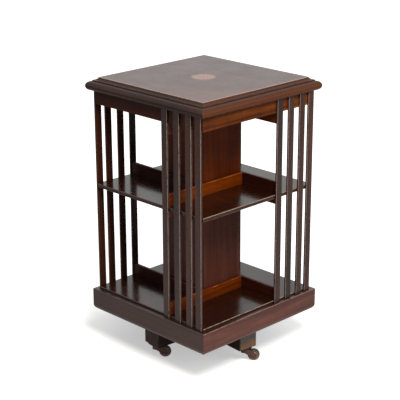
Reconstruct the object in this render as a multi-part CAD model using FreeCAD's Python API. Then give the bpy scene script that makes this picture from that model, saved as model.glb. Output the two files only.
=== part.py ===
import FreeCAD, Part
import math
import os

# Floor-standing revolving bookcase: a square two-tier case that turns on an iron
# spindle, over a cross base on four castors.
# Millimetres, Z up, origin on the floor under the spindle.
# Sides go anticlockwise from +X. Whatever repeats is made on the right side and turned.

V = FreeCAD.Vector
up = V(0, 0, 1)
hair = 0.01                 # tolerance when edges are picked by their place
side_names = ("right", "back", "left", "front")

# Case sizes
case_half = 212.0           # centre to the face of the aprons and shelf edges
lower_bay_height = 300.3    # bottom shelf to middle shelf
upper_bay_height = 266.7    # middle shelf to the underside of the top
shelf_thickness = 11.0
arris = 1.4                 # easing along shelf, fence and plinth edges

# Top sizes
top_thickness = 37.0
top_overhang = 16.8         # bullnose beyond the case
quirk_depth = 3.5
quirk_step = 1.8
cove_width = 8.0
cove_drop = 4.3
cove_hollow = 1.3           # how deep the cove lies under its chord
fillet_width = 2.1
fillet_height = 3.2
nose_shoulder = 1.4         # flat between the fillet and the bullnose
inlay_depth = 1.5
stringing_width = 2.8
patera_radius = 33.0

# Rails and slats
apron_height = 36.8
apron_thickness = 12.0
top_rail_height = 70.0
shelf_rail_height = 19.0
rail_end_radius = 9.0       # rounded corner at the outer end of rails and fences
slat_width = 21.6
slat_thickness = 5.2
slat_arris = 0.8
slat_inset = 3.2            # corner slat's edge to the case corner
corner_pitch = 35.5         # corner slat to its neighbour
slat_lead = 1.5             # inner slat's centre beyond the column's face

# Column and fences
column_half = 72.0
column_board = 10.0
fence_height = 34.0
fence_thickness = 9.0

# Plinth
plinth_height = 63.5
plinth_thickness = 14.0
plinth_round_height = 15.0  # rounded lower outer edge
plinth_round_depth = 9.0
shelf_reveal = 6.0          # bottom shelf above the plinth's ledge
floor_gap = 97.5            # floor to the plinth's lower edge
block_leg = 45.0
block_height = 36.0

# Cross base
base_turn = -5.0            # how far the base stands turned against the case, degrees
arm_reach = 193.0
arm_width = 61.0
arm_depth = 72.0
arm_arris = 2.0

# Spindle and its bearings
spindle_radius = 12.0
pin_radius = 8.0
pin_length = 36.0
running_gap = 0.06          # radial clearance of what turns
fixed_gap = 0.02            # radial clearance of what is fixed
seat_gap = 0.3              # between faces that bear on each other and turn
spindle_clearance = 4.0     # around the spindle where it only passes through
flange_width = 82.0         # square plate, set cornerwise on the cross
flange_thickness = 9.0
screw_circle = 44.0
screw_head = 8.0            # square heads of the flange's coach screws
screw_head_height = 3.2
screw_radius = 2.5
screw_length = 38.0
bearing_width = 56.0        # square plates of the pivot cup and the guide bush
bearing_plate = 4.0
cup_wall = 5.0
cup_height = 18.0           # how far the cup is let into the top
cup_bore_depth = 18.0
bush_wall = 4.0

# Castors
castor_height = 39.6        # floor to the underside of the arms
castor_inset = 16.0         # arm's end to the castor's swivel
castor_heading = 45.0       # direction that every wheel trails, degrees from +X
castor_trail = 26.0
wheel_radius = 17.0
wheel_width = 13.0
axle_radius = 2.5
cheek_thickness = 3.0
cheek_clearance = 0.5       # between wheel and cheek
cheek_end_radius = 8.0
plate_width = 30.0
plate_thickness = 2.4
stud_radius = 4.5
yoke_back = 7.0
yoke_height = 12.5

# Levels, from the floor up
arm_top = castor_height + arm_depth
plinth_top = floor_gap + plinth_height
bottom_shelf_top = plinth_top + shelf_reveal
bottom_shelf_under = bottom_shelf_top - shelf_thickness
middle_shelf_under = bottom_shelf_top + lower_bay_height
middle_shelf_top = middle_shelf_under + shelf_thickness
top_under = middle_shelf_top + upper_bay_height
top_surface = top_under + top_thickness
apron_under = top_under - apron_height

# Spindle to each castor's swivel
castor_radius = arm_reach - castor_inset

# Top plan
nose_radius = (top_thickness - quirk_depth - cove_drop - fillet_height) / 2
moulding_width = quirk_step + cove_width + fillet_width + nose_shoulder + nose_radius
top_half = case_half + top_overhang
panel_half = top_half - moulding_width


def save(name, shapes):
    """Write one node, a single solid or a group of separate solids."""
    shape = shapes[0] if len(shapes) == 1 else Part.makeCompound(shapes)
    shape.exportStep(os.path.join("parts", name + ".step"))


def turned(shape, angle):
    """A copy turned about the spindle's axis."""
    copy = shape.copy()
    copy.rotate(V(0, 0, 0), up, angle)
    return copy


def box(x0, x1, y0, y1, z0, z1):
    return Part.makeBox(x1 - x0, y1 - y0, z1 - z0, V(x0, y0, z0))


def cylinder(radius, z0, z1, x=0.0, y=0.0):
    return Part.makeCylinder(radius, z1 - z0, V(x, y, z0))


def arc(start, centre, end):
    """The shorter arc about a centre, from one point to another."""
    radius = start.distanceToPoint(centre)
    middle = (start + end) * 0.5 - centre
    return Part.Arc(start, centre + middle.normalize() * radius, end).toShape()


def face_of(edges):
    return Part.Face(Part.Wire(edges))


def line(start, end):
    return Part.LineSegment(start, end).toShape()


def path(points):
    return [line(a, b) for a, b in zip(points, points[1:])]


def upright(outline, y):
    """Points of an outline in an upright plane across the Y axis."""
    return [V(x, y, z) for x, z in outline]


def ring_positions(count, circle, first_angle=0.0):
    """Places evenly spaced on a circle."""
    for step in range(count):
        angle = math.radians(first_angle + 360.0 * step / count)
        yield circle * math.cos(angle), circle * math.sin(angle)


def mitred_length(profile, reach):
    """One side of a mitred square frame, from its section on the plane y = -reach."""
    bar = profile.extrude(V(0, 2 * reach, 0))
    corners = [V(0, 0, 0), V(reach, -reach, 0), V(reach, reach, 0), V(0, 0, 0)]
    wedge = face_of(path(corners)).extrude(V(0, 0, top_surface))
    return bar.common(wedge).Solids[0]


def flange_screws(gap=0.0):
    """Coach screws through the flange into the arms, or with a gap their shank holes."""
    flange_top = arm_top + flange_thickness
    foot = flange_top - screw_length
    return [cylinder(screw_radius + gap, foot, flange_top, x, y)
            for x, y in ring_positions(4, screw_circle, base_turn)]


# Top: panel with its inlay, and the mitred edge
def moulding_profile():
    """Section of the edge, from the panel out: quirk, cove, fillet and bullnose."""
    y = -top_half
    quirk_z = top_surface - quirk_depth
    fillet_z = quirk_z - cove_drop
    nose_z = fillet_z - fillet_height
    cove_start = panel_half + quirk_step
    fillet_x = cove_start + cove_width
    fillet_end = fillet_x + fillet_width
    nose_x = fillet_end + nose_shoulder
    inner = upright([(panel_half, top_under), (panel_half, quirk_z), (cove_start, quirk_z)], y)
    cove_end = V(fillet_x, y, fillet_z)
    chord = cove_end - inner[-1]
    sag = inner[-1] + chord * 0.5 + V(chord.z, 0, -chord.x).normalize() * cove_hollow
    cove = Part.Arc(inner[-1], sag, cove_end).toShape()
    step = [cove_end] + upright([(fillet_end, fillet_z), (fillet_end, nose_z), (nose_x, nose_z)], y)
    nose_end = V(nose_x, y, top_under)
    nose = Part.Arc(step[-1], V(top_half, y, top_under + nose_radius), nose_end).toShape()
    return face_of(path(inner) + [cove] + path(step) + [nose, line(nose_end, inner[0])])


def make_top():
    panel = box(-panel_half, panel_half, -panel_half, panel_half, top_under, top_surface)
    inlay_z = top_surface - inlay_depth
    strip_x = panel_half - stringing_width
    corners = [(strip_x, inlay_z), (panel_half, inlay_z), (panel_half, top_surface), (strip_x, top_surface)]
    strip = mitred_length(face_of(path(upright(corners + corners[:1], -panel_half))), panel_half)
    inlay = [turned(strip, 90 * k) for k in range(4)]
    inlay.append(cylinder(patera_radius, inlay_z, top_surface))
    cup_hole = cylinder(pin_radius + running_gap + cup_wall + fixed_gap, top_under, top_under + cup_height)
    save("top_panel", [panel.cut(inlay + [cup_hole])])
    save("top_inlay", inlay)
    length = mitred_length(moulding_profile(), top_half)
    save("top_mouldings", [turned(length, 90 * k) for k in range(4)])


# Aprons, rails and fences
def make_aprons():
    inner = case_half - apron_thickness
    corners = [(inner, apron_under), (case_half, apron_under), (case_half, top_under), (inner, top_under)]
    profile = face_of(path(upright(corners + corners[:1], -case_half)))
    apron = mitred_length(profile, case_half)
    for k, name in enumerate(side_names):
        save("apron_" + name, [turned(apron, 90 * k)])


def pinwheel_board(free_level, held_level, notch=()):
    """A board that runs from the right face along the column to the next board.
    The outer corner of its free edge is rounded; a notch clears the apron."""
    y = column_half
    back = rail_end_radius if free_level < held_level else -rail_end_radius
    corner_start = V(case_half, y, free_level + back)
    corner_end = V(case_half - rail_end_radius, y, free_level)
    corner_centre = V(corner_end.x, y, corner_start.z)
    inner = upright([(-column_half, free_level), (-column_half, held_level)], y)
    outer = upright(list(notch) + [(case_half, notch[-1][1] if notch else held_level)], y)
    edges = path([corner_end] + inner + outer + [corner_start])
    edges.append(arc(corner_start, corner_centre, corner_end))
    return face_of(edges).extrude(V(0, fence_thickness, 0))


def fence(level):
    """A book stop, with both top edges eased right round its outer corner."""
    top = level + fence_height
    board = pinwheel_board(top, level)
    edges = [e for e in board.Edges if e.BoundBox.ZMax > top - hair and e.BoundBox.YLength < hair]
    return board.makeChamfer(arris, edges)


def make_boards():
    notch = [(case_half - apron_thickness, top_under), (case_half - apron_thickness, apron_under)]
    boards = {
        "lower_fence_": fence(bottom_shelf_top),
        "upper_fence_": fence(middle_shelf_top),
        "shelf_rail_": pinwheel_board(middle_shelf_under - shelf_rail_height, middle_shelf_under),
        "top_rail_": pinwheel_board(top_under - top_rail_height, top_under, notch),
    }
    for prefix, board in boards.items():
        for k, name in enumerate(side_names):
            save(prefix + name, [turned(board, 90 * k)])


# Centre column: four upright boards a tier, each lapping the next one's edge
def make_column():
    inner = column_half - column_board
    tiers = {"lower_column_": (bottom_shelf_top, middle_shelf_under),
             "upper_column_": (middle_shelf_top, top_under)}
    for prefix, (z0, z1) in tiers.items():
        board = box(inner, column_half, -column_half, inner, z0, z1)
        for k, name in enumerate(side_names):
            save(prefix + name, [turned(board, 90 * k)])


# Shelves
def shelf(top, lowest_eased, hole_radius):
    """A square shelf, with its rims eased above a level and a round hole at its centre."""
    under = top - shelf_thickness
    board = box(-case_half, case_half, -case_half, case_half, under, top)
    rims = [e for e in board.Edges if e.BoundBox.ZLength < hair and e.BoundBox.ZMin > lowest_eased]
    return board.makeChamfer(arris, rims).cut(cylinder(hole_radius, under, top))


def make_shelves():
    sleeve = spindle_radius + running_gap + bush_wall
    save("middle_shelf", [shelf(middle_shelf_top, bottom_shelf_top, spindle_radius + spindle_clearance)])
    save("bottom_shelf", [shelf(bottom_shelf_top, plinth_top, sleeve + fixed_gap)])


# Slats: four on each face, from the plinth's ledge to the top, over aprons and shelf edges
def slat_centres():
    corner = case_half - slat_inset - slat_width / 2
    second = corner - corner_pitch
    inner = column_half + slat_lead
    return [corner, second, (second + inner) / 2, inner]


def slat(centre):
    back = case_half
    front = case_half + slat_thickness
    low = centre - slat_width / 2
    high = centre + slat_width / 2
    section = [(back, low), (front - slat_arris, low), (front, low + slat_arris),
               (front, high - slat_arris), (front - slat_arris, high), (back, high), (back, low)]
    points = [V(x, y, plinth_top) for x, y in section]
    return face_of(path(points)).extrude(V(0, 0, top_under - plinth_top))


def make_slats():
    slats = [slat(centre) for centre in slat_centres()]
    for k, name in enumerate(side_names):
        save("slats_" + name, [turned(piece, 90 * k) for piece in slats])


# Plinth skirt with glue blocks in its corners
def make_plinth():
    face_x = case_half + plinth_thickness
    y = -face_x
    round_radius = (plinth_round_height ** 2 + plinth_round_depth ** 2) / (2 * plinth_round_depth)
    low = V(face_x - plinth_round_depth, y, floor_gap)
    low_end = V(face_x, y, floor_gap + plinth_round_height)
    low_arc = arc(low, V(face_x - round_radius, y, low_end.z), low_end)
    rest = upright([(face_x, low_end.z), (face_x, plinth_top - arris), (face_x - arris, plinth_top),
                    (case_half, plinth_top), (case_half, floor_gap), (low.x, floor_gap)], y)
    skirt = mitred_length(face_of([low_arc] + path(rest)), face_x)
    for k, name in enumerate(side_names):
        save("plinth_" + name, [turned(skirt, 90 * k)])
    z = bottom_shelf_under - block_height
    leg_end = case_half - block_leg
    corner = V(case_half, case_half, z)
    triangle = [corner, V(leg_end, case_half, z), V(case_half, leg_end, z), corner]
    block = face_of(path(triangle)).extrude(V(0, 0, block_height))
    save("plinth_blocks", [turned(block, 90 * k) for k in range(4)])


# Cross base: two bearers halved over each other
def bearer(notch_low, notch_high):
    arm = box(-arm_reach, arm_reach, -arm_width / 2, arm_width / 2, castor_height, arm_top)
    ends = [e for e in arm.Edges if e.BoundBox.XLength < hair]
    arm = arm.makeChamfer(arm_arris, ends)
    return arm.cut(box(-arm_width / 2, arm_width / 2, -arm_width, arm_width, notch_low, notch_high))


def make_base():
    middle = (castor_height + arm_top) / 2
    lower = turned(bearer(middle, arm_top), base_turn)
    upper = turned(bearer(castor_height, middle), base_turn + 90)
    save("base_arm_long", [lower.cut(flange_screws(fixed_gap))])
    save("base_arm_cross", [upper.cut(flange_screws(fixed_gap))])


# Spindle cast in one with its flange, the flange's screws, and the two bearings in the case
def square_plate(width, z0, z1, angle=0.0):
    return turned(box(-width / 2, width / 2, -width / 2, width / 2, z0, z1), angle)


def make_spindle():
    bore_end = top_under - bearing_plate + cup_bore_depth
    pin_top = bore_end - seat_gap
    pin_foot = pin_top - pin_length
    flange_top = arm_top + flange_thickness
    plate = square_plate(flange_width, arm_top, flange_top, base_turn + 45)
    plate = plate.cut(flange_screws(fixed_gap))
    save("spindle", [plate.fuse([cylinder(spindle_radius, flange_top, pin_foot),
                                 cylinder(pin_radius, pin_foot, pin_top)])])

    half = screw_head / 2
    heads = [box(x - half, x + half, y - half, y + half, flange_top, flange_top + screw_head_height)
             for x, y in ring_positions(4, screw_circle, base_turn)]
    save("flange_screws", [head.fuse(shank) for head, shank in zip(heads, flange_screws())])


def make_bearings():
    cup_bore = pin_radius + running_gap
    plate_under = top_under - bearing_plate
    cup = square_plate(bearing_width, plate_under, top_under)
    cup = cup.fuse(cylinder(cup_bore + cup_wall, top_under, top_under + cup_height))
    save("pivot_cup", [cup.cut(cylinder(cup_bore, plate_under, plate_under + cup_bore_depth))])

    bush_bore = spindle_radius + running_gap
    bush_foot = bottom_shelf_under - bearing_plate
    bush = square_plate(bearing_width, bush_foot, bottom_shelf_under)
    bush = bush.fuse(cylinder(bush_bore + bush_wall, bottom_shelf_under, bottom_shelf_top))
    save("guide_bush", [bush.cut(cylinder(bush_bore, bush_foot, bottom_shelf_top))])


# Castors, made with the swivel on the Z axis and the wheel trailing along +X
def cheek(y, top):
    """Side plate of the fork, tapered from the yoke to a round end at the axle."""
    axle = V(castor_trail, y, wheel_radius)

    def touch(point, side):
        """Where the line from a point meets the round end."""
        reach = axle - point
        swing = side * math.asin(cheek_end_radius / reach.Length)
        along = V(reach.x * math.cos(swing) - reach.z * math.sin(swing), 0,
                  reach.x * math.sin(swing) + reach.z * math.cos(swing)).normalize()
        return point + along * math.sqrt(reach.Length ** 2 - cheek_end_radius ** 2)

    yoke = upright([(0, top - yoke_height), (0, top), (yoke_back, top)], y)
    upper = touch(yoke[-1], 1)
    lower = touch(yoke[0], -1)
    tip = axle + (axle - (yoke[0] + yoke[-1]) * 0.5).normalize() * cheek_end_radius
    end = Part.Arc(upper, tip, lower).toShape()
    outline = face_of(path([lower] + yoke + [upper]) + [end])
    return outline.extrude(V(0, cheek_thickness, 0))


def across(radius, reach):
    """A cylinder on the axle's line, reaching equally far to both sides of the swivel."""
    return Part.makeCylinder(radius, 2 * reach, V(castor_trail, -reach, wheel_radius), V(0, 1, 0))


def make_fork():
    """Round-fronted yoke on the stud, two cheeks and the axle riveted into them."""
    top = castor_height - plate_thickness - seat_gap
    inner = wheel_width / 2 + cheek_clearance
    outer = inner + cheek_thickness
    z = top - yoke_height
    sides = path([V(0, outer, z), V(yoke_back, outer, z), V(yoke_back, -outer, z), V(0, -outer, z)])
    front = Part.Arc(V(0, -outer, z), V(-outer, 0, z), V(0, outer, z)).toShape()
    yoke = face_of(sides + [front]).extrude(V(0, 0, yoke_height))
    fork = yoke.fuse([cheek(inner, top), cheek(-outer, top), across(axle_radius, inner)]).removeSplitter()
    return fork.cut(cylinder(stud_radius + running_gap, z, top))


def make_wheel():
    reach = wheel_width / 2
    return across(wheel_radius, reach).cut(across(axle_radius + running_gap, reach))


def make_castors():
    plate_under = castor_height - plate_thickness
    stud_foot = plate_under - seat_gap - yoke_height
    plate = square_plate(plate_width, plate_under, castor_height, base_turn)
    plate = plate.fuse(cylinder(stud_radius, stud_foot, plate_under))
    fork = turned(make_fork(), castor_heading)
    wheel = turned(make_wheel(), castor_heading)
    plates = []
    for name, (x, y) in zip(side_names, ring_positions(4, castor_radius, base_turn)):
        place = V(x, y, 0)
        plates.append(plate.translated(place))
        save("castor_fork_" + name, [fork.translated(place)])
        save("castor_wheel_" + name, [wheel.translated(place)])
    save("castor_plates", plates)


os.makedirs("parts", exist_ok=True)
make_top()
make_aprons()
make_boards()
make_column()
make_shelves()
make_slats()
make_plinth()
make_base()
make_spindle()
make_bearings()
make_castors()
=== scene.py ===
import math

import bmesh
import bpy
from mathutils import Matrix, Vector


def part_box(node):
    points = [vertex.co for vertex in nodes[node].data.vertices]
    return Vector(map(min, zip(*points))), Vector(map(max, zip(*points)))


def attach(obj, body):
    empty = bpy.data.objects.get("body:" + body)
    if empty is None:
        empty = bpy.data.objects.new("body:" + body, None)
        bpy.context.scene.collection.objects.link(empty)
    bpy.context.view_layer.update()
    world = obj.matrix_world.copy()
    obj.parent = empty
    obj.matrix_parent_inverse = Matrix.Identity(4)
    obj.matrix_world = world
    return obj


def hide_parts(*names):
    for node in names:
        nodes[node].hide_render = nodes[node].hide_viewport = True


# Looks of the revolving bookcase. Metres, Z up, origin on the floor under the spindle.
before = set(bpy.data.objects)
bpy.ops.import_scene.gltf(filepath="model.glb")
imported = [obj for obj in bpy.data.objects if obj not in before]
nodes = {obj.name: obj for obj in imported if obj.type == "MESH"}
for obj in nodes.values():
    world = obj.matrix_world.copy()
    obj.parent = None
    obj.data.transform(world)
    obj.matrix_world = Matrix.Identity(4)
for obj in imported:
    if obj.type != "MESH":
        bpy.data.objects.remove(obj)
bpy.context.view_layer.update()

sides = ("right", "back", "left", "front")

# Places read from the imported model
top_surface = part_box("top_panel")[1].z
slat_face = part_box("slats_right")[1].x

# Sizes of the part, as its source has them
patera_radius = 0.033
slat_width = 0.0216
corner_pitch = 0.0355                  # corner slat to its neighbour
base_turn = math.radians(-5.0)         # how far the base stands turned against the case
castor_radius = 0.177                  # spindle's axis to a castor's swivel
castor_heading = math.radians(45)      # direction that every wheel trails
castor_plate_under = 0.0372            # floor to the castor plates' undersides
wheel_radius = 0.017
wheel_width = 0.013
cheek_face = 0.010                     # wheel's middle to a fork cheek's outer face

# Small fasteners
axis_hole = 0.00005                    # pinhole that keeps a turned outline off its axis
pin_radius = 0.0012
pin_rise = 0.0003
apron_pin_inset = 0.010                # from the apron's upper and lower edges
apron_pin_aside = 0.004                # the two pins of an apron stand to either side
shelf_pin_drop = 0.0028                # below the bottom shelf's surface
plate_screw_reach = 0.0105             # swivel to a plate screw, along each edge of the plate
plate_screw_sink = 0.0005

# Places and order of some tones
slat_tint_order = 13.0                 # changes which slats are brown and which are grey
arm_end_shadow_edge = 0.062                # height of the painted shadow edge on the long arm's lit end
belly_start = 0.018                    # below the top's surface, where the painted light on the mouldings' right side turns redder
belly_full = 0.021

# Floor: the camera sees it lifted to white away from the middle of the shadow
floor_half = 6.0
shadow_middle = (-0.044, -0.010, 0.0)
shadow_inner = 0.12
shadow_outer = 0.64
lift_in_shadow = 0.47
lift_gain = 0.62

# The place on the spindle's axis that the lights point at
light_aim = Vector((0, 0, 0.35))

# Camera, as fitted to the picture
camera_azimuth = math.radians(45.59)
camera_elevation = math.radians(18.68)
camera_roll = math.radians(-0.22)
camera_distance = 3.493
camera_target = (-0.0108, 0.4286)      # along the picture's right, and up from the floor
camera_lens = 111.9
sensor_width = 36.0


# Shader building
class Shader:
    """Small helper that adds and links nodes of one material or world."""

    def __init__(self, tree):
        self.tree = tree
        tree.nodes.clear()

    def add(self, kind, inputs=None, **settings):
        made = self.tree.nodes.new("ShaderNode" + kind)
        for name, value in settings.items():
            setattr(made, name, value)
        for name, value in (inputs or {}).items():
            self.put(made.inputs[name], value)
        return made

    def put(self, socket, value):
        """Link an output to a socket, or write a constant on it."""
        if isinstance(value, bpy.types.NodeSocket):
            self.tree.links.new(value, socket)
        else:
            socket.default_value = value

    def math(self, operation, *values, clamp=False):
        made = self.add("Math", operation=operation, use_clamp=clamp)
        for socket, value in zip(made.inputs, values):
            self.put(socket, value)
        return made.outputs[0]

    def vector(self, operation, *values):
        made = self.add("VectorMath", operation=operation)
        for socket, value in zip(made.inputs, values):
            self.put(socket, value)
        return made.outputs["Value"] if operation in ("LENGTH", "DOT_PRODUCT") else made.outputs[0]

    def mix(self, factor, a, b, blend="MIX"):
        made = self.add("Mix", data_type="RGBA", blend_type=blend)
        self.put(made.inputs[0], factor)
        self.put(made.inputs[6], a)
        self.put(made.inputs[7], b)
        return made.outputs[2]

    def ramp(self, factor, *stops):
        """Colour ramp from (position, colour or grey) stops."""
        made = self.add("ValToRGB", {"Fac": factor})
        points = made.color_ramp.elements
        while len(points) < len(stops):
            points.new(0.5)
        for point, (position, colour) in zip(points, stops):
            point.position = position
            point.color = colour if isinstance(colour, tuple) else (colour, colour, colour, 1)
        return made.outputs["Color"]

    def step(self, value, low, high):
        """Smooth rise from 0 to 1 between two values."""
        made = self.add("MapRange", {"Value": value, "From Min": low, "From Max": high},
                        interpolation_type="SMOOTHSTEP")
        return made.outputs["Result"]

    def noise(self, place, scale, detail=3.0, roughness=0.5, seed=0.0, distortion=0.0):
        made = self.add("TexNoise", {"Vector": place, "Scale": scale, "Detail": detail,
                                     "Roughness": roughness, "Distortion": distortion, "W": seed},
                        noise_dimensions="4D")
        return made.outputs["Fac"]


def rgb(red, green, blue):
    """Linear colour from the 0 to 255 values that a screen shows."""
    def linear(v):
        v /= 255.0
        return v / 12.92 if v <= 0.04045 else ((v + 0.055) / 1.055) ** 2.4
    return (linear(red), linear(green), linear(blue), 1.0)


def new_material(name):
    material = bpy.data.materials.new(name)
    material.use_nodes = True
    return material, Shader(material.node_tree)


def edge_mask(s, radius, low=0.02, high=0.2):
    """1 along sharp edges, 0 on flat faces, with the softened normal that gives them."""
    soft = s.add("Bevel", {"Radius": radius}, samples=6).outputs["Normal"]
    true = s.add("NewGeometry").outputs["True Normal"]
    away = s.math("SUBTRACT", 1.0, s.vector("DOT_PRODUCT", soft, true))
    return s.step(away, low, high), soft


def object_normal(s):
    """The three parts of the surface direction in the model's own frame."""
    return s.add("SeparateXYZ", {"Vector": s.add("TexCoord").outputs["Normal"]}).outputs


def arris_mask(s):
    """1 on the narrow chamfers of square boards, 0 on their broad faces."""
    parts = [s.math("ABSOLUTE", part) for part in object_normal(s)]
    most = s.math("MAXIMUM", parts[0], s.math("MAXIMUM", parts[1], parts[2]))
    return s.step(s.math("SUBTRACT", 1.0, most), 0.08, 0.2)


def right_facing_rub_and_highlight(s):
    """Share of the worn-edge colour for edges that look to the model's right: partly wear, and partly a
    painted highlight on the side that faces the light.
    """
    return s.math("MULTIPLY_ADD", s.step(object_normal(s)[0], 0.1, 0.5), 0.85, 0.15)


def right_half_rub_and_highlight(s):
    """Share of the worn-edge colour for boards on the model's right half: partly wear, and partly a painted
    highlight on the half that faces the light.
    """
    across = s.add("SeparateXYZ", {"Vector": s.add("TexCoord").outputs["Object"]}).outputs[0]
    return s.math("MULTIPLY_ADD", s.step(across, -0.06, 0.06), 0.85, 0.15)


def piece_seed(s, several):
    """A number that differs from board to board, also between several boards of one node."""
    own = s.add("ObjectInfo").outputs["Random"]
    if not several:
        return s.math("MULTIPLY", own, 37.0)
    island = s.add("NewGeometry").outputs["Random Per Island"]
    return s.math("MULTIPLY_ADD", own, 37.0, s.math("MULTIPLY", island, 61.0))


def grain_place(s, run):
    """Coordinates with the board's length on Z. run is X, Y, Z, or ring for mitred frames."""
    place = s.add("TexCoord").outputs["Object"]
    parts = s.add("SeparateXYZ", {"Vector": place}).outputs
    orders = {"X": (1, 2, 0), "Y": (0, 2, 1), "Z": (0, 1, 2)}

    def ordered(name):
        a, b, c = orders[name]
        return s.add("CombineXYZ", {"X": parts[a], "Y": parts[b], "Z": parts[c]}).outputs[0]

    if run != "ring":
        return ordered(run)
    sideways = s.math("GREATER_THAN", s.math("ABSOLUTE", parts[0]), s.math("ABSOLUTE", parts[1]))
    made = s.add("Mix", data_type="VECTOR")
    s.put(made.inputs[0], sideways)
    s.put(made.inputs[4], ordered("X"))
    s.put(made.inputs[5], ordered("Y"))
    return made.outputs[1]


def finish_surface(s, colour, roughness, bump, normal, coat=0.0, coat_roughness=0.1, specular=0.5,
                   metallic=0.0, distance=0.0004, strength=0.3):
    made = s.add("Bump", {"Height": bump, "Normal": normal, "Strength": strength, "Distance": distance})
    surface = s.add("BsdfPrincipled", {
        "Base Color": colour, "Roughness": roughness, "Metallic": metallic, "Normal": made.outputs[0],
        "Coat Weight": coat, "Coat Roughness": coat_roughness, "Specular IOR Level": specular})
    out = s.add("OutputMaterial")
    s.tree.links.new(surface.outputs[0], out.inputs["Surface"])


def wood(name, run, dark, middle, light, roughness=0.27, coat=0.25, wear=0.5, wear_colour=None,
         figure=1.0, edge_radius=0.0011, specular=0.5, crevice_dirt_and_shade=0.6, unbroken=0.0, square=True, flat=False,
         several=False, rub_and_highlight_share=None, tints=None, overlay=None):
    """Polished open-grained wood: broad tone, growth stripes, short pores, worn arrises, and dirt and painted
    shade in crevices.

    unbroken lengthens the worn stretches, square boards also wear on their chamfers, and flat ones keep
    sharp edges. several is for nodes of more than one board. rub_and_highlight_share returns how much of the
    worn-edge colour a place gets, which is partly wear and partly a painted highlight, tints are colours that
    boards are multiplied with in turn, and overlay returns a mask and a colour for a part that differs.
    """
    material, s = new_material(name)
    place = grain_place(s, run)
    seed = piece_seed(s, several)

    broad = s.noise(s.vector("MULTIPLY", place, (9.0, 9.0, 1.6)), 1.0, 3.0, 0.5, seed, 0.6)
    stripes = s.noise(s.vector("MULTIPLY", place, (75.0, 75.0, 2.6)), 1.0, 5.0, 0.62, seed, 0.35)
    fine = s.noise(s.vector("MULTIPLY", place, (420.0, 420.0, 11.0)), 1.0, 3.0, 0.6, seed)
    pores = s.noise(s.vector("MULTIPLY", place, (900.0, 900.0, 38.0)), 1.0, 2.0, 0.6, seed)
    pore_mask = s.step(pores, 0.60, 0.68)
    curl = s.noise(s.vector("MULTIPLY", place, (14.0, 14.0, 42.0)), 1.0, 2.0, 0.5, seed, 0.8)

    tone = s.math("MULTIPLY_ADD", s.math("SUBTRACT", broad, 0.5), 0.9 * figure, 0.5)
    tone = s.math("MULTIPLY_ADD", s.math("SUBTRACT", stripes, 0.5), 1.1 * figure, tone)
    tone = s.math("MULTIPLY_ADD", s.math("SUBTRACT", fine, 0.5), 0.45, tone)
    tone = s.math("MULTIPLY_ADD", s.math("SUBTRACT", curl, 0.5), 0.22 * figure, tone)
    colour = s.ramp(tone, (0.12, dark), (0.5, middle), (0.92, light))
    own = s.math("MULTIPLY_ADD", s.add("ObjectInfo").outputs["Random"], 0.24, 0.88)
    colour = s.mix(1.0, colour, s.add("CombineColor", {"Red": own, "Green": own, "Blue": own}).outputs[0],
                   "MULTIPLY")
    if tints:
        island = s.add("NewGeometry").outputs["Random Per Island"]
        pick = s.math("FRACT", s.math("MULTIPLY", island, tints[0]))
        colour = s.mix(1.0, colour, s.ramp(pick, *tints[1]), "MULTIPLY")
    if overlay:
        mask, patch = overlay(s)
        colour = s.mix(mask, colour, patch)
    colour = s.mix(s.math("MULTIPLY", pore_mask, 0.55), colour, tuple(0.35 * c for c in dark[:3]) + (1,))

    edge, soft = edge_mask(s, edge_radius)
    rubbed = s.math("MAXIMUM", edge, arris_mask(s)) if square else edge
    # Partly a painted highlight: the worn-edge colour can be kept to the side that faces the light.
    if rub_and_highlight_share:
        rubbed = s.math("MULTIPLY", rubbed, rub_and_highlight_share(s))
    patchy = s.step(s.noise(place, 55.0, 4.0, 0.6, seed), 0.42 - unbroken, 0.62 - unbroken)
    worn = s.math("MULTIPLY", s.math("MULTIPLY", rubbed, patchy), wear, clamp=True)
    colour = s.mix(worn, colour, wear_colour or tuple(min(1.0, 1.9 * c + 0.02) for c in light[:3]) + (1,))

    # Dirt and painted shade: darker where ambient occlusion finds crevices and hollows.
    if crevice_dirt_and_shade:
        true = s.add("NewGeometry").outputs["True Normal"]
        open_air = s.add("AmbientOcclusion", {"Distance": 0.012, "Normal": true}, samples=6).outputs["AO"]
        shade = s.math("MULTIPLY", s.math("SUBTRACT", 1.0, open_air), crevice_dirt_and_shade, clamp=True)
        colour = s.mix(shade, colour, (0.006, 0.004, 0.003, 1))

    smears = s.noise(place, 14.0, 4.0, 0.6, 3.0)
    rough = s.math("MULTIPLY_ADD", s.math("SUBTRACT", smears, 0.5), 0.18, roughness)
    rough = s.math("MULTIPLY_ADD", pore_mask, 0.12, rough)
    rough = s.math("MULTIPLY_ADD", worn, 0.15, rough, clamp=True)
    waves = s.noise(place, 20.0, 2.0, 0.5, seed)
    bump = s.math("MULTIPLY_ADD", fine, 0.35, s.math("MULTIPLY", waves, 0.8))
    bump = s.math("MULTIPLY_ADD", pore_mask, -0.3, bump)
    normal = s.add("NewGeometry").outputs["True Normal"] if flat else soft
    finish_surface(s, colour, rough, bump, normal, coat=coat, specular=specular)
    return material


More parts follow.
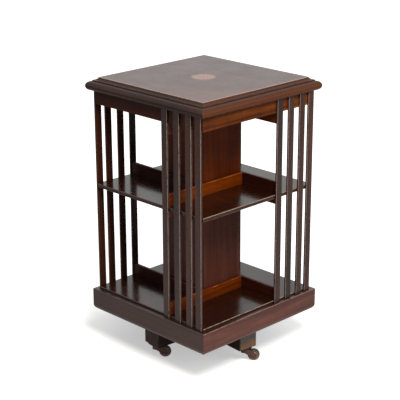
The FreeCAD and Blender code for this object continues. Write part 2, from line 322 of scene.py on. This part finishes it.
def inlay_material():
    """Plain pale stringing at the panel's edge, and a shaded fan in the middle."""
    material, s = new_material("inlay")
    place = s.add("TexCoord").outputs["Object"]
    parts = s.add("SeparateXYZ", {"Vector": place}).outputs
    radius = s.vector("LENGTH", s.add("CombineXYZ", {"X": parts[0], "Y": parts[1], "Z": 0.0}).outputs[0])
    ratio = s.math("DIVIDE", radius, patera_radius)
    turn = s.math("DIVIDE", s.math("ARCTAN2", parts[1], parts[0]), 2 * math.pi)

    # Petals: each one shades from pale to scorched, inside a dark ring and a pale rim
    petals = 12
    swirl = s.math("MULTIPLY_ADD", ratio, 0.5, s.math("MULTIPLY", turn, petals))
    across = s.math("FRACT", swirl)
    scorch = s.step(across, 0.35, 1.0)
    pale = rgb(168, 98, 54)
    tan = rgb(146, 74, 34)
    brown = rgb(110, 54, 24)
    petal = s.mix(scorch, pale, brown)
    fibres = s.noise(s.vector("MULTIPLY", place, (700.0, 160.0, 700.0)), 1.0, 3.0, 0.6, 5.0)
    petal = s.mix(s.math("MULTIPLY", fibres, 0.45), petal, tan)
    seam = s.math("MAXIMUM", s.step(across, 0.95, 0.99), s.step(s.math("SUBTRACT", 0.05, across), 0.0, 0.04))
    petal = s.mix(s.math("MULTIPLY", seam, 0.5), petal, rgb(60, 32, 22))
    ring = s.math("MULTIPLY", s.step(ratio, 0.86, 0.875), s.math("SUBTRACT", 1.0, s.step(ratio, 0.90, 0.915)))
    petal = s.mix(s.math("MULTIPLY", ring, 0.85), petal, rgb(52, 28, 20))
    petal = s.mix(s.step(ratio, 0.90, 0.915), petal, pale)
    petal = s.mix(s.math("MULTIPLY", s.step(ratio, 0.975, 0.995), 0.8), petal, rgb(45, 25, 18))
    heart = s.math("SUBTRACT", 1.0, s.step(ratio, 0.10, 0.13))
    petal = s.mix(heart, petal, pale)

    streak = s.noise(s.vector("MULTIPLY", grain_place(s, "ring"), (500.0, 500.0, 14.0)), 1.0, 3.0, 0.6, 2.0)
    strip = s.ramp(streak, (0.3, rgb(152, 114, 94)), (0.7, rgb(186, 150, 130)))
    colour = s.mix(s.math("GREATER_THAN", ratio, 1.5), petal, strip)
    rough = s.math("MULTIPLY_ADD", fibres, 0.12, 0.22)
    normal = s.add("NewGeometry").outputs["Normal"]
    finish_surface(s, colour, rough, fibres, normal, coat=0.25, strength=0.1)
    return material


def iron(name, dark, light, rust, roughness=0.42, metallic=0.7, rust_share=0.5, tread=None):
    """Old cast iron: mottled dark skin, brown rust bloom, rubbed edges and, on wheels, a darker tread."""
    material, s = new_material(name)
    place = s.add("TexCoord").outputs["Object"]
    mottle = s.noise(place, 160.0, 5.0, 0.65, 1.0)
    bloom = s.step(s.noise(place, 70.0, 5.0, 0.7, 4.0), 0.62 - 0.3 * rust_share, 0.74 - 0.3 * rust_share)
    pits = s.noise(place, 900.0, 3.0, 0.6, 2.0)
    edge, soft = edge_mask(s, 0.0008)
    colour = s.mix(mottle, dark, light)
    colour = s.mix(s.math("MULTIPLY", bloom, 0.8), colour, rust)
    colour = s.mix(s.math("MULTIPLY", edge, 0.5), colour, tuple(min(1.0, 2.6 * c) for c in light[:3]) + (1,))
    if tread:
        radius = s.add("Attribute", attribute_name="turned_radius").outputs["Fac"]
        colour = s.mix(s.math("MULTIPLY", s.step(radius, tread[0], tread[1]), 0.9), colour, tread[2])
    rough = s.math("MULTIPLY_ADD", bloom, 0.22, s.math("MULTIPLY_ADD", mottle, 0.15, roughness))
    shine = s.math("MULTIPLY", s.math("SUBTRACT", 1.0, bloom), metallic)
    bump = s.math("MULTIPLY_ADD", mottle, 0.6, s.math("MULTIPLY", pits, 0.3))
    finish_surface(s, colour, rough, bump, soft, metallic=shine, strength=0.35)
    return material


# Materials. Each board's grain runs along its length
mahogany_dark = rgb(50, 17, 6)
mahogany_middle = rgb(94, 38, 12)
mahogany_light = rgb(134, 62, 22)


def mahogany(name, run, **settings):
    return wood(name, run, mahogany_dark, mahogany_middle, mahogany_light, **settings)


def moulding_right_painted_light(s):
    """Painted light: the right side of the top's mouldings, which faces the light, is redder, most of all in
    its lower half.
    """
    height = s.add("SeparateXYZ", {"Vector": s.add("TexCoord").outputs["Object"]}).outputs[2]
    low = s.math("SUBTRACT", 1.0, s.step(height, top_surface - belly_full, top_surface - belly_start))
    right = s.step(object_normal(s)[0], 0.05, 0.3)
    return s.math("MULTIPLY", s.math("MULTIPLY_ADD", low, 0.35, 0.4), right), rgb(108, 52, 16)


def top_painted_sheen(s):
    """Painted sheen: the near corner of the top is pinker than the rest."""
    parts = s.add("SeparateXYZ", {"Vector": s.add("TexCoord").outputs["Object"]}).outputs
    near = s.step(s.math("SUBTRACT", parts[0], parts[1]), 0.10, 0.42)
    return s.math("MULTIPLY", near, 0.6), rgb(122, 76, 68)


def shelf_rim(s):
    """The shelves' upright edges, dull and a little lighter than their tops."""
    upright = s.math("SUBTRACT", 1.0, s.step(s.math("ABSOLUTE", object_normal(s)[2]), 0.1, 0.3))
    return s.math("MULTIPLY", upright, 0.8), rgb(58, 32, 22)


def plinth_top_dirt_and_shade(s):
    """Darker along the plinth's upper face: dirt, and painted shade in the recess under the bottom shelf."""
    return s.math("MULTIPLY", s.step(object_normal(s)[2], 0.5, 0.9), 0.8), rgb(26, 12, 7)


def arm_end_painted_light(s):
    """Painted light on the end of the long arm that faces the light: greyish above, and a lighter tan below
    the line where the plinth's shadow ends.
    """
    height = s.add("SeparateXYZ", {"Vector": s.add("TexCoord").outputs["Object"]}).outputs[2]
    end_mottle = s.noise(s.add("TexCoord").outputs["Object"], 120.0, 4.0, 0.6, 7.0)
    level = s.math("MULTIPLY_ADD", s.math("SUBTRACT", end_mottle, 0.5), 0.006, height)
    below_shadow_edge = s.math("SUBTRACT", 1.0, s.step(level, arm_end_shadow_edge - 0.002, arm_end_shadow_edge + 0.002))
    colour = s.mix(below_shadow_edge, s.mix(end_mottle, rgb(90, 82, 76), rgb(138, 128, 120)),
                   s.mix(end_mottle, rgb(104, 76, 56), rgb(156, 122, 94)))
    return s.math("MULTIPLY", s.step(object_normal(s)[0], 0.8, 0.95), 0.9), colour


case_wood = {run: mahogany("mahogany_" + run, run, specular=0.12, coat=0.0, roughness=0.32)
             for run in ("X", "Y", "Z")}
# Painted shade: a darker copy of the mahogany for the front apron and the fences away from the light.
painted_shade_wood = {run: wood("mahogany_painted_shade_" + run, run, rgb(36, 13, 9), rgb(60, 25, 16), rgb(88, 42, 28),
                      specular=0.12, coat=0.0, roughness=0.32)
            for run in ("X", "Y")}
# Painted light: a brighter, more orange copy of the mahogany for the right apron, which faces the light.
painted_lit_wood = wood("mahogany_painted_lit", "Y", rgb(52, 19, 4), rgb(106, 50, 10), rgb(152, 86, 26), specular=0.12,
                   coat=0.0, roughness=0.32, figure=1.35)
# Painted light: a brighter orange copy for the one fence whose face looks to the light.
lit_fence_wood = wood("mahogany_fence_painted_lit", "Y", rgb(66, 22, 2), rgb(118, 48, 4), rgb(154, 76, 12), specular=0.1,
                  coat=0.0, roughness=0.34)
lower_column_wood = wood("mahogany_lower_column", "Z", rgb(50, 24, 17), rgb(88, 47, 36), rgb(114, 67, 52),
                         specular=0.14, coat=0.0, roughness=0.32, figure=0.7)
moulding_wood = wood("mahogany_moulding", "ring", rgb(28, 15, 10), rgb(57, 32, 21), rgb(88, 53, 36),
                     specular=0.21, coat=0.0, crevice_dirt_and_shade=1.0, wear=0.8, wear_colour=rgb(150, 120, 102),
                     edge_radius=0.0008, unbroken=0.08, square=False, overlay=moulding_right_painted_light)
slat_wood = wood("mahogany_slats", "Z", rgb(36, 17, 11), rgb(62, 32, 20), rgb(92, 52, 34), specular=0.5,
                 coat=0.1, wear=0.8, wear_colour=rgb(172, 154, 142), edge_radius=0.0010, unbroken=0.11,
                 several=True, rub_and_highlight_share=right_half_rub_and_highlight,
                 tints=(slat_tint_order, ((0.0, (1.0, 0.88, 0.86, 1)), (0.35, (0.92, 0.86, 0.86, 1)),
                                          (0.6, (0.5, 0.62, 0.75, 1)), (1.0, (0.62, 0.72, 0.85, 1)))))
# Painted light: the plinth boards are lit and shaded copies, lightest and reddest on the right board that
# faces the light, darkest on the front board in shade.
plinth_painted_light_wood = {
    name: wood("mahogany_plinth_painted_light_" + name, run, *tones, specular=0.5, coat=0.1, roughness=0.34, wear=0.7,
               wear_colour=rgb(168, 122, 100), unbroken=0.06, rub_and_highlight_share=right_facing_rub_and_highlight, overlay=plinth_top_dirt_and_shade)
    for name, run, tones in (
        ("right", "Y", (rgb(52, 24, 18), rgb(88, 44, 34), rgb(124, 72, 56))),
        ("left", "Y", (rgb(44, 21, 15), rgb(76, 39, 28), rgb(108, 62, 46))),
        ("back", "X", (rgb(44, 21, 15), rgb(76, 39, 28), rgb(108, 62, 46))),
        ("front", "X", (rgb(36, 18, 14), rgb(62, 33, 25), rgb(90, 52, 42))))}
shelf_wood = wood("mahogany_shelves", "X", rgb(22, 9, 4), rgb(42, 17, 7), rgb(66, 30, 12), roughness=0.17,
                  coat=0.12, specular=0.3, wear=0.9, wear_colour=rgb(170, 138, 116), crevice_dirt_and_shade=0.4, unbroken=0.14,
                  rub_and_highlight_share=right_facing_rub_and_highlight, overlay=shelf_rim)
top_wood = wood("mahogany_top", "X", rgb(58, 36, 28), rgb(82, 54, 42), rgb(104, 72, 56),
                roughness=0.33, coat=0.1, specular=0.4, wear=0.3, figure=0.8, square=False, flat=True,
                overlay=top_painted_sheen)
base_wood = {run: wood("base_wood_" + run, run, rgb(28, 17, 12), rgb(48, 32, 24), rgb(74, 52, 40),
                       roughness=0.55, coat=0.0, wear=0.8, wear_colour=rgb(112, 92, 78), specular=0.25,
                       overlay=arm_end_painted_light if run == "X" else None)
             for run in ("X", "Y")}
block_wood = wood("secondary_wood", "Z", rgb(96, 66, 44), rgb(132, 94, 64), rgb(158, 118, 84),
                  roughness=0.7, coat=0.0, wear=0.2, specular=0.25)
inlay = inlay_material()
black_iron = iron("iron", rgb(36, 29, 25), rgb(58, 47, 40), rgb(74, 46, 32), rust_share=0.4)
fork_iron = iron("fork_iron", rgb(70, 50, 42), rgb(110, 84, 74), rgb(96, 62, 48), metallic=0.3,
                 rust_share=0.5)
wheel_iron = iron("wheel_iron", rgb(104, 80, 70), rgb(168, 140, 128), rgb(124, 84, 66), metallic=0.2,
                  rust_share=0.4, tread=(0.0138, 0.0150, rgb(40, 26, 20)))
pin_iron = iron("pin_iron", rgb(60, 50, 44), rgb(96, 82, 72), rgb(84, 56, 40), rust_share=0.3)


def dress(node, material):
    """Give a CAD node its material."""
    mesh = nodes[node].data
    mesh.materials.clear()
    mesh.materials.append(material)


outward = {"right": "X", "left": "X", "back": "Y", "front": "Y"}
# Aprons: the right one has the painted lit copy, the front one the painted shade copy.
apron_wood = {"right": painted_lit_wood, "back": case_wood["X"], "left": case_wood["Y"], "front": painted_shade_wood["X"]}
for name in sides:
    dress("apron_" + name, apron_wood[name])
    dress("plinth_" + name, plinth_painted_light_wood[name])
    dress("slats_" + name, slat_wood)
    for board in ("top_rail_", "shelf_rail_"):
        dress(board + name, case_wood[outward[name]])
    # The fence that faces the light gets the painted lit copy, the others the painted shade copy.
    for board in ("upper_fence_", "lower_fence_"):
        dress(board + name, lit_fence_wood if name == "front" else painted_shade_wood[outward[name]])
    dress("upper_column_" + name, case_wood["Z"])
    dress("lower_column_" + name, lower_column_wood)
    dress("castor_fork_" + name, fork_iron)
    dress("castor_wheel_" + name, wheel_iron)
dress("top_panel", top_wood)
dress("top_inlay", inlay)
dress("top_mouldings", moulding_wood)
dress("middle_shelf", shelf_wood)
dress("bottom_shelf", shelf_wood)
dress("plinth_blocks", block_wood)
dress("base_arm_long", base_wood["X"])
dress("base_arm_cross", base_wood["Y"])
for node in ("spindle", "flange_screws", "pivot_cup", "guide_bush", "castor_plates"):
    dress(node, black_iron)


# Pieces built in mesh code
def new_piece(name, mesh_data, material, body):
    """An object from a bmesh, riding on a body."""
    mesh = bpy.data.meshes.new(name)
    bmesh.ops.recalc_face_normals(mesh_data, faces=mesh_data.faces)
    mesh_data.to_mesh(mesh)
    mesh_data.free()
    mesh.materials.append(material)
    piece = bpy.data.objects.new(name, mesh)
    bpy.context.scene.collection.objects.link(piece)
    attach(piece, body)
    return piece


def spin(made, outline, place, turns=48):
    """Close a (radius, height) outline into a turned solid, put in place by a matrix."""
    radius = made.verts.layers.float.get("turned_radius") or made.verts.layers.float.new("turned_radius")
    rings = []
    for step in range(turns):
        angle = 2 * math.pi * step / turns
        ring = [made.verts.new(place @ Vector((r * math.cos(angle), r * math.sin(angle), z)))
                for r, z in outline]
        for vert, (r, z) in zip(ring, outline):
            vert[radius] = r
        rings.append(ring)
    for step in range(turns):
        ring = rings[step]
        following = rings[(step + 1) % turns]
        for i in range(len(outline)):
            j = (i + 1) % len(outline)
            face = made.faces.new((ring[i], following[i], following[j], ring[j]))
            face.smooth = True


def across_axle(centre, heading):
    """Matrix that lays a turned outline's axis along an axle."""
    level = Matrix.Rotation(heading, 4, "Z") @ Matrix.Rotation(math.pi / 2, 4, "X")
    return Matrix.Translation(centre) @ level


def node_centre(node):
    low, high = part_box(node)
    return (low + high) / 2


# Castor wheels: crowned tread, dished faces and a hub ring
def wheel_outline():
    half = wheel_width / 2
    bore = 0.00256
    face = [(bore, half), (0.0058, half), (0.0066, half - 0.0008), (0.0072, half - 0.0024),
            (0.0120, half - 0.0026), (0.0134, half - 0.0008), (0.0146, half - 0.0004),
            (0.0158, half - 0.0012), (0.0167, half - 0.0034), (wheel_radius, 0.0016)]
    return face + [(r, -z) for r, z in reversed(face)]


for name in sides:
    made = bmesh.new()
    spin(made, wheel_outline(), across_axle(node_centre("castor_wheel_" + name), castor_heading), 64)
    wheel = new_piece("castor_wheel_turned_" + name, made, wheel_iron, "wheel_" + name)
    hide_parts("castor_wheel_" + name)


# Rivet heads where each axle is closed over the cheeks
rivet_outline = [(0.0, 0.0013), (0.0016, 0.0011), (0.0028, 0.0005), (0.0034, -0.0002), (0.0004, -0.0002)]
for name in sides:
    centre = node_centre("castor_wheel_" + name)
    made = bmesh.new()
    for way in (0, math.pi):
        turn = across_axle(centre, castor_heading + way)
        spin(made, rivet_outline, turn @ Matrix.Translation((0, 0, cheek_face)), 20)
    new_piece("axle_rivets_" + name, made, fork_iron, "fork_" + name)


# Slat pins: small heads on each slat where it crosses an apron or a shelf's edge
pin_outline = [(axis_hole, pin_rise), (0.55 * pin_radius, 0.85 * pin_rise),
               (0.9 * pin_radius, 0.4 * pin_rise), (pin_radius, -0.0001), (axis_hole, -0.0001)]
low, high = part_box("slats_right")
inner_slat = low.y + slat_width / 2
corner_slat = high.y - slat_width / 2
second_slat = corner_slat - corner_pitch
slat_places = [corner_slat, second_slat, (second_slat + inner_slat) / 2, inner_slat]
apron_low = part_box("apron_right")[0].z
apron_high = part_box("apron_right")[1].z
shelf_middle = sum(v.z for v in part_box("middle_shelf")) / 2
pin_levels = [(shelf_middle, 0.0), (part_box("bottom_shelf")[1].z - shelf_pin_drop, 0.0),
              (apron_low + apron_pin_inset, -apron_pin_aside),
              (apron_high - apron_pin_inset, apron_pin_aside)]
for k, name in enumerate(sides):
    made = bmesh.new()
    for y in slat_places:
        for z, aside in pin_levels:
            place = (Matrix.Rotation(math.pi / 2 * k, 4, "Z") @ Matrix.Translation((slat_face, y + aside, z))
                     @ Matrix.Rotation(math.pi / 2, 4, "Y"))
            spin(made, pin_outline, place, 12)
    new_piece("slat_pins_" + name, made, pin_iron, "case")


# Countersunk screws in the corners of each castor plate, seen from below
screw_outline = [(axis_hole, -0.0001), (0.0003, -0.0001), (0.0024, -0.0001), (0.0030, 0.0003),
                 (0.0030, 0.0008), (axis_hole, 0.0008)]
for k, name in enumerate(sides):
    made = bmesh.new()
    swivel = Matrix.Rotation(base_turn + math.pi / 2 * k, 4, "Z") @ Matrix.Translation(
        (castor_radius, 0, castor_plate_under))
    for sx in (-1, 1):
        for sy in (-1, 1):
            corner = (sx * plate_screw_reach, sy * plate_screw_reach, -plate_screw_sink)
            spin(made, screw_outline, swivel @ Matrix.Translation(corner), 16)
    new_piece("plate_screws_" + name, made, pin_iron, "base")


# Stage: pale floor that keeps the shadow near the base; the camera sees it with a painted glow, weakest
# around the middle of the shadow and rising to white away from it, so the cast shadow fades out
def make_floor():
    made = bmesh.new()
    corners = [made.verts.new((x * floor_half, y * floor_half, 0))
               for x, y in ((-1, -1), (1, -1), (1, 1), (-1, 1))]
    made.faces.new(corners)
    mesh = bpy.data.meshes.new("floor")
    made.to_mesh(mesh)
    made.free()
    material, s = new_material("floor")
    place = s.add("TexCoord").outputs["Object"]
    tone = s.ramp(s.noise(place, 3.0, 3.0, 0.5), (0.3, 0.79), (0.7, 0.81))
    cloth = s.add("BsdfDiffuse", {"Color": tone, "Roughness": 0.5})
    parts = s.add("SeparateXYZ", {"Vector": place}).outputs
    flat = s.add("CombineXYZ", {"X": parts[0], "Y": parts[1], "Z": 0.0}).outputs[0]
    away = s.vector("LENGTH", s.vector("SUBTRACT", flat, shadow_middle))
    # Painted glow for the camera: lower in the shadow's middle, white further out.
    lift = s.math("MULTIPLY_ADD", s.step(away, shadow_inner, shadow_outer), lift_gain, lift_in_shadow)
    seen = s.add("LightPath").outputs["Is Camera Ray"]
    glow = s.add("Emission", {"Color": (1, 1, 1, 1), "Strength": s.math("MULTIPLY", seen, lift)})
    both = s.add("AddShader")
    s.tree.links.new(cloth.outputs[0], both.inputs[0])
    s.tree.links.new(glow.outputs[0], both.inputs[1])
    out = s.add("OutputMaterial")
    s.tree.links.new(both.outputs[0], out.inputs["Surface"])
    mesh.materials.append(material)
    floor = bpy.data.objects.new("floor", mesh)
    bpy.context.scene.collection.objects.link(floor)


def make_world():
    world = bpy.data.worlds.new("studio")
    bpy.context.scene.world = world
    world.use_nodes = True
    s = Shader(world.node_tree)
    seen = s.add("LightPath").outputs
    direct = s.math("MAXIMUM", seen["Is Camera Ray"], s.math("MAXIMUM", seen["Is Glossy Ray"],
                                                            seen["Is Transmission Ray"]))
    strength = s.math("MULTIPLY_ADD", direct, 0.86, 0.14)
    sky = s.add("Background", {"Color": (1, 1, 1, 1), "Strength": strength})
    out = s.add("OutputWorld")
    s.tree.links.new(sky.outputs[0], out.inputs["Surface"])


def area_light(name, direction, distance, size, power, colour=(1, 1, 1)):
    data = bpy.data.lights.new(name, "AREA")
    data.shape = "DISK"
    data.size = size
    data.energy = power
    data.color = colour
    lamp = bpy.data.objects.new(name, data)
    place = Vector(direction).normalized() * distance + light_aim
    lamp.location = place
    lamp.rotation_euler = (place - light_aim).to_track_quat("Z", "Y").to_euler()
    bpy.context.scene.collection.objects.link(lamp)


make_floor()
make_world()
area_light("key", (0.80, -0.45, 1.00), 3.2, 1.05, 75.0, (1.0, 0.97, 0.94))
area_light("side", (1.0, 0.35, 0.45), 3.0, 1.6, 12.0)


# Camera
def make_camera():
    back = Vector((math.sin(camera_azimuth) * math.cos(camera_elevation),
                   -math.cos(camera_azimuth) * math.cos(camera_elevation), math.sin(camera_elevation)))
    aside = Vector((math.cos(camera_azimuth), math.sin(camera_azimuth), 0))
    target = aside * camera_target[0] + Vector((0, 0, camera_target[1]))
    data = bpy.data.cameras.new("camera")
    data.lens = camera_lens
    data.sensor_width = sensor_width
    camera = bpy.data.objects.new("camera", data)
    camera.location = target + back * camera_distance
    roll = Matrix.Rotation(camera_roll, 3, "Z")
    camera.rotation_euler = (back.to_track_quat("Z", "Y").to_matrix() @ roll).to_euler()
    bpy.context.scene.collection.objects.link(camera)
    bpy.context.scene.camera = camera


make_camera()
bpy.context.scene.view_settings.view_transform = "Standard"
